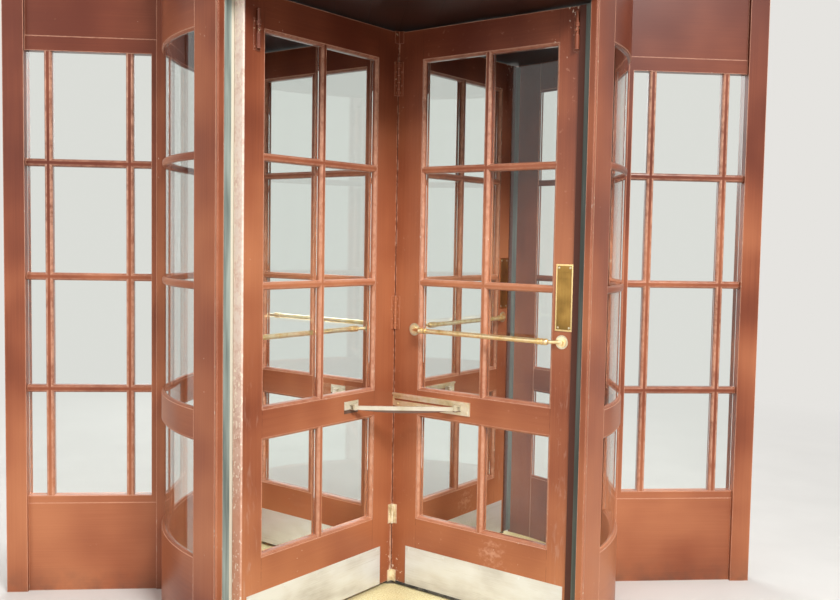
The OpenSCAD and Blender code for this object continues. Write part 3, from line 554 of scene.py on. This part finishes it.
def chalkyRubber(name):
    material, tree, shader, coords = newMaterial(name)
    s = rubberSettings
    along = addNode(tree, "Mapping", {"Scale": s["bloomScale"]}, {"Vector": coords})
    bloom = addNode(tree, "TexNoise", {"Scale": 1.0, "Detail": 5.0}, {"Vector": along})
    tone = addNode(tree, "ValToRGB", None, {0: bloom})
    setStops(tone, [(0.35, s["deep"]), (0.65, s["bloom"])])
    level, reach = fromAxis(tree, coords)
    base = addNode(tree, "Math", {"operation": "LESS_THAN", 1: s["baseEnd"]}, {0: reach})
    # the side that leads when the door turns
    around = addNode(tree, "VectorMath", {"operation": "CROSS_PRODUCT", 0: (0, 0, 1)}, {1: level})
    normal = addNode(tree, "NewGeometry").outputs["Normal"]
    facing = addNode(tree, "VectorMath", {"operation": "DOT_PRODUCT"}, {0: around, 1: normal})
    leads = addNode(tree, "Math", {"operation": "GREATER_THAN", 1: 0.0}, {0: facing.outputs["Value"]})
    # darker on the pushed face: partly grime, partly painted shade
    grimeAndShade = addNode(tree, "MapRange", {"To Min": 0.6, "To Max": 0.0}, {"Value": leads})
    layers = [(s["grimeAndShade"], grimeAndShade), (s["paint"], base), (s["carrier"], overlap(tree, base, leads))]
    setNode(tree, shader, {"Roughness": 0.7}, {"Base Color": layColours(tree, tone.outputs[0], layers)})
    return material


# Black rubber strip under the wings, grey with floor dust.
sweepSettings = {"rubber": "#2a2927", "dust": "#6d685f", "dustSize": 0.02}


def sweepRubber(name):
    material, tree, shader, coords = newMaterial(name)
    s = sweepSettings
    dust = addNode(tree, "TexNoise", {"Scale": 1 / s["dustSize"], "Detail": 5.0}, {"Vector": coords})
    tone = addNode(tree, "ValToRGB", None, {0: dust})
    setStops(tone, [(0.4, s["rubber"]), (0.75, s["dust"])])
    setNode(tree, shader, {"Roughness": 0.8}, {"Base Color": tone})
    return material


# Vinyl sheet floor, straw yellow with fine flecks, greyed in patches by feet.
floorSettings = {
    "dark": "#dac98c", "mid": "#f0e4ac", "pale": "#f8f1cc", "fleckSize": 0.006,
    "walked": "#b5a578", "walkedSize": 0.25,
}


def wornFloor(name):
    material, tree, shader, coords = newMaterial(name)
    s = floorSettings
    fleck = addNode(tree, "TexNoise", {"Scale": 1 / s["fleckSize"], "Detail": 2.0}, {"Vector": coords})
    tone = addNode(tree, "ValToRGB", None, {0: fleck})
    setStops(tone, [(0.36, s["dark"]), (0.5, s["mid"]), (0.66, s["pale"])])
    dirt = addNode(tree, "TexNoise", {"Scale": 1 / s["walkedSize"], "Detail": 6.0}, {"Vector": coords})
    walked = addNode(tree, "MapRange", {"From Min": 0.48, "From Max": 0.78, "To Max": 0.4}, {"Value": dirt})
    colour = layColours(tree, tone.outputs[0], [(s["walked"], walked)])
    setNode(tree, shader, {"Roughness": 0.48}, {"Base Color": colour})
    return material


# Cream enamel on cast iron, yellowed, chipped to the metal at its edges, and brown underneath:
# painted shade under the arms, and the door's paint run over the foot of the brackets.
enamelSettings = {
    "yellowed": "#c2b596", "cream": "#d4cab5", "pale": "#ded7c8", "stainSize": 0.06,
    "iron": "#6d5a43", "arrisRadius": 0.0015, "chipSize": 0.006,
    # the brown under the stays is painted shade on the arms and the door's paint on the brackets
    "under": "#5a3425", "underDrop": 0.0075,  # from the middle of the stays down to the brown
    "underBlend": 0.0012,
}


def creamEnamel(name):
    material, tree, shader, coords = newMaterial(name)
    s = enamelSettings
    stain = addNode(tree, "TexNoise", {"Scale": 1 / s["stainSize"], "Detail": 5.0}, {"Vector": coords})
    tone = addNode(tree, "ValToRGB", None, {0: stain})
    setStops(tone, [(0.3, s["yellowed"]), (0.52, s["cream"]), (0.8, s["pale"])])
    grain = addNode(tree, "TexNoise", {"Scale": 1 / s["chipSize"], "Detail": 4.0}, {"Vector": coords})
    edge = overlap(tree, arrisMask(tree, s["arrisRadius"], 0.88), grain)
    bare = addNode(tree, "MapRange", {"From Min": 0.47, "From Max": 0.52}, {"Value": edge})
    height = addNode(tree, "SeparateXYZ", None, {"Vector": coords}).outputs["Z"]
    # painted shade on the arms' undersides and the door's paint over the brackets, in one brown
    start = door["stayMiddle"] - s["underDrop"]
    under = addNode(tree, "MapRange", {"From Min": start, "From Max": start - s["underBlend"],
                                       "To Max": 0.92}, {"Value": height})
    layers = [(s["iron"], bare), (s["under"], under)]
    setNode(tree, shader, {"Roughness": 0.3}, {"Base Color": layColours(tree, tone.outputs[0], layers)})
    return material


# Turned steel, grey, with a little rust.
steelSettings = {"steel": "#98948d", "rust": "#6d4a33", "rustSize": 0.03}


def turnedSteel(name):
    material, tree, shader, coords = newMaterial(name)
    s = steelSettings
    rust = addNode(tree, "TexNoise", {"Scale": 1 / s["rustSize"], "Detail": 6.0}, {"Vector": coords})
    tone = addNode(tree, "ValToRGB", None, {0: rust})
    setStops(tone, [(0.45, s["steel"]), (0.75, s["rust"])])
    setNode(tree, shader, {"Metallic": 0.9, "Roughness": 0.4}, {"Base Color": tone})
    return material


# Brass of the hinges, shoes and bolts: painted over with the door, but bare near the floor, where
# shoes and mops have worn the paint off.
hingeSettings = {
    "bright": "#fff5dc", "dull": "#cdb68a", "cloudSize": 0.02, "arrisRadius": 0.002, "bareBelow": 0.6,
}


def paintedBrass(name):
    material, tree, shader, coords = newMaterial(name)
    s = hingeSettings
    height = addNode(tree, "SeparateXYZ", None, {"Vector": coords}).outputs["Z"]
    cloud = addNode(tree, "TexNoise", {"Scale": 1 / s["cloudSize"], "Detail": 5.0}, {"Vector": coords})
    paint = paintTone(tree, coords, brushMarks(tree, coords, "up"), "wing")[0]
    metal = addNode(tree, "ValToRGB", None, {0: cloud})
    setStops(metal, [(0.42, s["bright"]), (0.8, s["dull"])])
    low = addNode(tree, "Math", {"operation": "LESS_THAN", 1: s["bareBelow"]}, {0: height})
    patch = addNode(tree, "MapRange", {"From Min": 0.67, "From Max": 0.69, "To Max": 0.9}, {"Value": cloud})
    bare = addNode(tree, "Math", {"operation": "MAXIMUM"}, {0: low, 1: patch})
    # pale arrises: partly the rubbed undercoat, partly a painted highlight
    arris = arrisMask(tree, s["arrisRadius"], 0.86)
    edge = addNode(tree, "Math", {"operation": "MULTIPLY", 1: 0.7}, {0: arris})
    rubbedAndHighlit = layColours(tree, paint, [(paintSettings["undercoat"], edge)])
    colour = addNode(tree, "Mix", {"data_type": "RGBA"}, {0: bare, 6: rubbedAndHighlit, 7: metal})
    # worn thin, with wax and dirt left on it, the metal is only half bright
    bright = addNode(tree, "Math", {"operation": "MULTIPLY", 1: 0.6}, {0: bare})
    setNode(tree, shader, {"Roughness": 0.36, "Specular IOR Level": 0.34},
            {"Base Color": colour.outputs[2], "Metallic": bright})
    return material


def dress(nodeName, material):
    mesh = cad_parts[nodeName].data
    mesh.materials.clear()
    mesh.materials.append(material)


postPaint = glossPaint("postPaint", "post")
screenPaint = glossPaint("screenPaint", "screen")
railPaint = glossPaint("railPaint", "post", grain="level")
boardPaint = glossPaint("boardPaint", "screen", grain="level")
soffitPaint = darkPaint("soffitPaint", 0.5)
roofPaint = darkPaint("roofPaint", 0.8)
paneGlass = floatGlass("paneGlass")
barBrass = handledBrass("barBrass", "bar")
trackBrass = handledBrass("trackBrass", "track")
pushPlateBrass = plateBrass("pushPlateBrass")
kickSheet = scuffedSheet("kickSheet")
drumFloor = wornFloor("drumFloor")
stayEnamel = creamEnamel("stayEnamel")
bearingSteel = turnedSteel("bearingSteel")
hingeBrass = paintedBrass("hingeBrass")

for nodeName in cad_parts:
    if "glass" in nodeName:
        dress(nodeName, paneGlass)
        # the light comes through the panes and leaves no shadow of them
        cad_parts[nodeName].visible_shadow = False
    elif nodeName.endswith(("_rails", "_fascia")):
        dress(nodeName, railPaint)
    elif nodeName.endswith("_panels"):
        dress(nodeName, boardPaint)
    elif nodeName.endswith("_screen_frame"):
        dress(nodeName, screenPaint)
    elif nodeName.endswith("_post"):
        dress(nodeName, postPaint)
for index in range(door["wings"]):
    wingPaint = glossPaint(f"wingPaint{index + 1}", "wing", turn=wingAngle(index))
    dress(f"wing_{index + 1}_frame", wingPaint)
for nodeName, material in {
    "soffit_board": soffitPaint, "roof_board": roofPaint, "floor_disc": drumFloor,
    "push_bars": barBrass, "stay_tracks": trackBrass, "push_plates": pushPlateBrass,
    "hinges": hingeBrass, "hub_shoes": hingeBrass, "kickplates": kickSheet, "stay_arms": stayEnamel,
    "edge_seals": chalkyRubber("sealRubber"), "bottom_sweeps": sweepRubber("sweepRubber"),
    "floor_bearing": bearingSteel, "top_bearing": bearingSteel,
}.items():
    dress(nodeName, material)
print("materials ready")


def selectFaces(test):
    # picks the faces whose normal passes the test, and leaves edit mode on
    bpy.ops.mesh.select_all(action="DESELECT")
    bpy.ops.object.mode_set(mode="OBJECT")
    for polygon in bpy.context.object.data.polygons:
        polygon.select = test(polygon.normal)
    bpy.ops.object.mode_set(mode="EDIT")
    bpy.ops.mesh.select_mode(type="FACE")


def easeEdges(width):
    # applies the active piece's place and takes the sharpness off its edges
    piece = bpy.context.object
    bpy.ops.object.transform_apply(location=True, rotation=True, scale=True)
    softEdge = piece.modifiers.new("softEdge", "BEVEL")
    softEdge.width = width
    softEdge.segments = 2
    bpy.ops.object.modifier_apply(modifier="softEdge")
    return piece


def combine(body, other, operation):
    # cuts the other piece out of the body or unites the two, and removes the other
    bpy.ops.object.select_all(action="DESELECT")
    body.select_set(True)
    bpy.context.view_layer.objects.active = body
    change = body.modifiers.new("change", "BOOLEAN")
    change.operation = operation
    change.object = other
    bpy.ops.object.modifier_apply(modifier="change")
    bpy.data.objects.remove(other)


# Slotted screws, modelled once and copied to the fittings of every wing
screwSettings = {
    "radius": 0.0038, "height": 0.0016, "slotWidth": 0.0011, "slotDepth": 0.0008,
    # insets that round the head, as shares of the radius and of the height
    "insets": [(0.3, 0.35), (0.3, 0.12)],
}


def makeScrew():
    s = screwSettings
    bpy.ops.object.select_all(action="DESELECT")
    bpy.ops.mesh.primitive_cylinder_add(
        vertices=16, radius=s["radius"], depth=s["height"], location=(0, 0, s["height"] / 2))
    screw = bpy.context.object
    bpy.ops.object.transform_apply(location=True, rotation=True, scale=True)
    bpy.ops.object.mode_set(mode="EDIT")
    selectFaces(lambda normal: normal.z > 0.9)
    for width, rise in s["insets"]:
        bpy.ops.mesh.inset(thickness=s["radius"] * width, depth=s["height"] * rise)
    bpy.ops.object.mode_set(mode="OBJECT")
    top = max(vertex.co.z for vertex in screw.data.vertices)
    bpy.ops.object.select_all(action="DESELECT")
    bpy.ops.mesh.primitive_cube_add(
        size=1, location=(0, 0, top), scale=(s["radius"] * 3, s["slotWidth"], s["slotDepth"] * 2))
    combine(screw, bpy.context.object, "DIFFERENCE")
    return screw


def onWing(index, reach, out, height, side, spin=0.0):
    # lays a piece modelled along +Z on a wing's face: side 1 leads, side -1 is pushed
    angle = wingAngle(index)
    place = Vector((reach * math.cos(angle) - out * math.sin(angle),
                    reach * math.sin(angle) + out * math.cos(angle), height))
    facing = Matrix.Rotation(angle, 4, "Z") @ Matrix.Rotation(-side * math.pi / 2, 4, "X")
    return Matrix.Translation(place) @ facing @ Matrix.Rotation(spin, 4, "Z")


def copyTo(master, matrices):
    copies = []
    for matrix in matrices:
        twin = master.copy()
        twin.data = master.data.copy()
        bpy.context.scene.collection.objects.link(twin)
        twin.matrix_world = matrix
        copies.append(twin)
    return copies


def joinAs(name, objects, material):
    bpy.ops.object.select_all(action="DESELECT")
    for item in objects:
        item.select_set(True)
    bpy.context.view_layer.objects.active = objects[0]
    bpy.ops.object.transform_apply(location=True, rotation=True, scale=True)
    bpy.ops.object.join()
    whole = bpy.context.object
    whole.name = name
    whole.data.name = name
    whole.data.materials.clear()
    whole.data.materials.append(material)
    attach(whole, "rotor")


def gridPlaces(reaches, heights):
    return [(reach, height) for reach in reaches for height in heights]


def rosettePlaces(reaches, height, ring):
    # three screws on a ring about each end of the push bar, one of them at its top
    turns = [math.pi * sixths / 6 for sixths in (3, 7, 11)]
    return [(reach + ring * math.cos(turn), height + ring * math.sin(turn))
            for reach in reaches for turn in turns]


def hingePlaces(middle, stagger, leaves):
    # evenly up each leaf, every second one further out; a leaf is its foot, head and number of screws
    return [(middle + stagger * (step % 2), foot + (head - foot) * (step + 0.5) / count)
            for foot, head, count in leaves for step in range(count)]


# each group's distance out from the middle of the wing, the faces that it is on (1 leads and -1 is
# pushed), and the reach and height of each of its screws
screwGroups = [
    {"name": "kickplateScrews", "material": kickSheet, "slot": "kick_metal", "out": 0.0235, "sides": (-1, 1),
     "places": gridPlaces((0.106, 0.27, 0.434, 0.598, 0.758), (0.038, 0.161))},
    {"name": "pushPlateScrews", "material": barBrass, "slot": "brass", "out": 0.023, "sides": (-1,),
     "places": gridPlaces((0.7295, 0.7715), (1.058, 1.26))},
    {"name": "rosetteScrews", "material": barBrass, "slot": "brass", "out": 0.025, "sides": (-1,),
     "scale": 0.62, "places": rosettePlaces(reaches=(0.119, 0.746), height=1.009, ring=0.0205)},
    {"name": "trackScrews", "material": trackBrass, "slot": "brass", "out": 0.026, "sides": (-1,),
     "places": [(0.367, 0.747), (0.367, 0.721), (0.045, 0.718), (0.2, 0.718)]},
    {"name": "bracketScrews", "material": stayEnamel, "slot": "cream_paint", "out": 0.024, "sides": (1,),
     "places": [(0.238, 0.747), (0.298, 0.747), (0.238, 0.721), (0.298, 0.721)]},
    {"name": "hingeScrews", "material": hingeBrass, "slot": "brass", "out": 0.0243, "sides": (-1, 1),
     "places": hingePlaces(middle=0.0335, stagger=0.006,
                           leaves=((0.251, 0.325, 3), (1.005, 1.131, 5), (1.884, 2.01, 5)))},
]
slotTurn = 1.9                # radians from one screw's slot to the next one's


def makeScrews():
    screw = makeScrew()
    spin = 0.0
    for group in screwGroups:
        matrices = []
        for index in range(door["wings"]):
            for side in group["sides"]:
                for reach, height in group["places"]:
                    spin += slotTurn
                    place = onWing(index, reach, side * group["out"], height, side, spin)
                    matrices.append(place @ Matrix.Scale(group.get("scale", 1.0), 4))
        joinAs(group["name"], copyTo(screw, matrices), group["material"])
    bpy.data.objects.remove(screw)


makeScrews()
print("screws set")


# Raised lines on the push plates: a bare header panel and a line above the lower edge
plateLineSettings = {
    "middle": 0.7505, "width": 0.052, "recess": 0.023, "proud": 0.0009, "ease": 0.0003,
    "header": (1.222, 1.246), "line": (1.079, 1.081), "rim": 0.0012, "sink": 0.0005,
}


def makePlateBlock(low, high, tray):
    s = plateLineSettings
    bpy.ops.object.select_all(action="DESELECT")
    bpy.ops.mesh.primitive_cube_add(size=1, scale=(s["width"], high - low, s["proud"] * 2))
    bpy.ops.object.transform_apply(location=True, rotation=True, scale=True)
    if tray:
        # a shallow tray with a fine rim
        bpy.ops.object.mode_set(mode="EDIT")
        selectFaces(lambda normal: normal.z > 0.9)
        bpy.ops.mesh.inset(thickness=s["rim"])
        bpy.ops.transform.translate(value=(0, 0, -s["sink"]))
        bpy.ops.object.mode_set(mode="OBJECT")
    return easeEdges(s["ease"])


def makePlateLines():
    s = plateLineSettings
    pieces = []
    for (low, high), tray in ((s["header"], True), (s["line"], False)):
        block = makePlateBlock(low, high, tray)
        places = [onWing(index, s["middle"], -s["recess"], (low + high) / 2, -1)
                  for index in range(door["wings"])]
        pieces += copyTo(block, places)
        bpy.data.objects.remove(block)
    joinAs("pushPlateLines", pieces, pushPlateBrass)


makePlateLines()
print("push plate lines set")


# Barrel bolts at the head of the outer stiles, painted over with the wings and worn at the edges.
# Each is on the face that looks into the bay of a mouth.
boltSettings = {
    "plateWidth": 0.03, "plate": (0.0, 0.1), "plateThick": 0.002, "ease": 0.0006,
    "rodRadius": 0.005, "rodOut": 0.0085, "rod": (0.012, 0.13),
    "housingRadius": 0.0078, "housings": [(0.006, 0.052), (0.08, 0.092)],
    "knobRadius": 0.004, "knobAt": 0.066, "knobOut": 0.021, "screwScale": 0.55,
    "screws": [(side * 0.0112, along) for side in (-1, 1) for along in (0.01, 0.09)],
    # wing, side, reach of the rod and height of the foot of the plate; opposite wings have the same
    "places": [(wing + half, side, reach, foot) for half in (0, 2)
               for wing, side, reach, foot in ((0, 1, 0.741, 1.936), (1, -1, 0.777, 1.972))],
}


def roundBar(radius, low, high):
    # a bar along the bolt, at the rod's distance from the face
    s = boltSettings
    bpy.ops.object.select_all(action="DESELECT")
    bpy.ops.mesh.primitive_cylinder_add(
        vertices=24, radius=radius, depth=high - low, rotation=(math.pi / 2, 0, 0),
        location=(0, (low + high) / 2, s["rodOut"]))
    return easeEdges(s["ease"])


def boltKnob():
    # a peg that stands out from the rod
    s = boltSettings
    bpy.ops.object.select_all(action="DESELECT")
    bpy.ops.mesh.primitive_cylinder_add(
        vertices=20, radius=s["knobRadius"], depth=s["knobOut"] - s["rodOut"],
        location=(0, s["knobAt"], (s["knobOut"] + s["rodOut"]) / 2))
    return easeEdges(s["ease"])


def boltPlate():
    s = boltSettings
    low, high = s["plate"]
    bpy.ops.object.select_all(action="DESELECT")
    bpy.ops.mesh.primitive_cube_add(
        size=1, location=(0, (low + high) / 2, s["plateThick"] / 2),
        scale=(s["plateWidth"], high - low, s["plateThick"]))
    return easeEdges(s["ease"])


def makeBolt():
    s = boltSettings
    body = boltPlate()
    others = [roundBar(s["housingRadius"], *ends) for ends in s["housings"]]
    others += [roundBar(s["rodRadius"], *s["rod"]), boltKnob()]
    for other in others:
        combine(body, other, "UNION")
    screw = makeScrew()
    small = Matrix.Scale(s["screwScale"], 4)
    places = [Matrix.Translation((across, along, s["plateThick"])) @ small for across, along in s["screws"]]
    copies = copyTo(screw, places)
    bpy.data.objects.remove(screw)
    bpy.ops.object.select_all(action="DESELECT")
    for item in copies + [body]:
        item.select_set(True)
    bpy.context.view_layer.objects.active = body
    bpy.ops.object.join()
    return body


def makeBolts():
    bolt = makeBolt()
    # on the leading face the bolt is turned half round, so that its rod still points up
    places = [onWing(index, reach, side * door["wingHalf"], foot, side, math.pi if side == 1 else 0.0)
              for index, side, reach, foot in boltSettings["places"]]
    pieces = copyTo(bolt, places)
    bpy.data.objects.remove(bolt)
    joinAs("headBolts", pieces, hingeBrass)


makeBolts()
print("head bolts set")


# camera, fitted to the photograph: place in metres and turns in radians
cameraSettings = {
    "place": (-0.2339, -3.6681, 1.3437), "yaw": 0.0907, "pitch": -0.0624, "roll": 0.0171,
    "focalPixels": 954.96, "imageWidth": 840, "sensor": 36.0,
}


def makeCamera():
    s = cameraSettings
    data = bpy.data.cameras.new("viewCamera")
    data.sensor_width = s["sensor"]
    data.lens = s["focalPixels"] / s["imageWidth"] * s["sensor"]
    camera = bpy.data.objects.new("viewCamera", data)
    bpy.context.scene.collection.objects.link(camera)
    turn = Matrix.Rotation(-s["yaw"], 3, "Z") @ Matrix.Rotation(math.pi / 2 + s["pitch"], 3, "X")
    turn = turn @ Matrix.Rotation(s["roll"], 3, "Z")
    camera.matrix_world = Matrix.Translation(s["place"]) @ turn.to_4x4()
    bpy.context.scene.camera = camera


# pale floor that fades into the backdrop, so that no edge shows behind the glass
stageSettings = {
    "radius": 30.0, "below": 0.0005, "fadeFrom": 1.8, "fadeTo": 5.5,
    "floor": "#dedbd5", "floorPale": "#e4e1db", "cloudSize": 1 / 3,
    "backdrop": "#e6e4e0", "sky": "#f4f6fa", "skyStrength": 0.45,
}


def seenRay(tree):
    # 1 for the rays that show the backdrop: the camera's, and those that glass and gloss pass on
    path = addNode(tree, "LightPath")
    seen = addNode(tree, "Math", {"operation": "MAXIMUM"},
                   {0: path.outputs["Is Camera Ray"], 1: path.outputs["Is Transmission Ray"]})
    return addNode(tree, "Math", {"operation": "MAXIMUM"}, {0: seen, 1: path.outputs["Is Glossy Ray"]})


def makeFloor():
    s = stageSettings
    bpy.ops.object.select_all(action="DESELECT")
    bpy.ops.mesh.primitive_circle_add(
        vertices=128, radius=s["radius"], fill_type="NGON", location=(0, 0, -s["below"]))
    floor = bpy.context.object
    floor.name = "studioFloor"
    material, tree, shader, coords = newMaterial("studioPaper")
    cloud = addNode(tree, "TexNoise", {"Scale": 1 / s["cloudSize"], "Detail": 3.0}, {"Vector": coords})
    tone = addNode(tree, "ValToRGB", None, {0: cloud})
    setStops(tone, [(0.3, s["floor"]), (0.7, s["floorPale"])])
    setNode(tree, shader, {"Roughness": 0.9}, {"Base Color": tone})
    distance = addNode(tree, "VectorMath", {"operation": "LENGTH"}, {0: coords}).outputs["Value"]
    far = addNode(tree, "MapRange", {"From Min": s["fadeFrom"], "From Max": s["fadeTo"]},
                  {"Value": distance})
    paper = addNode(tree, "Emission", {"Color": linear(s["backdrop"])})
    mix = addNode(tree, "MixShader", None, {0: overlap(tree, far, seenRay(tree)), 1: shader, 2: paper})
    setNode(tree, tree.nodes["Material Output"], None, {"Surface": mix})
    floor.data.materials.append(material)


def makeWorld():
    s = stageSettings
    world = bpy.data.worlds.new("studioWorld")
    bpy.context.scene.world = world
    world.use_nodes = True
    tree = world.node_tree
    tree.nodes.clear()
    lighting = addNode(tree, "Background", {"Color": linear(s["sky"]), "Strength": s["skyStrength"]})
    backdrop = addNode(tree, "Background", {"Color": linear(s["backdrop"]), "Strength": 1.0})
    mix = addNode(tree, "MixShader", None, {0: seenRay(tree), 1: lighting, 2: backdrop})
    addNode(tree, "OutputWorld", None, {"Surface": mix})


lampSettings = [
    {"name": "keyLamp", "place": (2.2, -6.1, 5.6), "size": 2.0, "power": 570},
    {"name": "fillLamp", "place": (-4.5, -3.8, 2.4), "size": 3.0, "power": 85},
    {"name": "rearLamp", "place": (-1.0, 5.5, 3.4), "size": 3.0, "power": 220},
]
lampAim = Vector((0, 0, 1.0))


def makeLamps():
    for s in lampSettings:
        data = bpy.data.lights.new(s["name"], "AREA")
        data.size = s["size"]
        data.energy = s["power"]
        lamp = bpy.data.objects.new(s["name"], data)
        bpy.context.scene.collection.objects.link(lamp)
        lamp.location = s["place"]
        lamp.rotation_euler = (lampAim - Vector(s["place"])).to_track_quat("-Z", "Y").to_euler()
        # the lamps light the door, but aren't seen through its panes
        lamp.visible_camera = False
        lamp.visible_transmission = False


makeCamera()
makeFloor()
makeWorld()
makeLamps()
bpy.context.scene.view_settings.view_transform = "Standard"
print("camera and light ready")
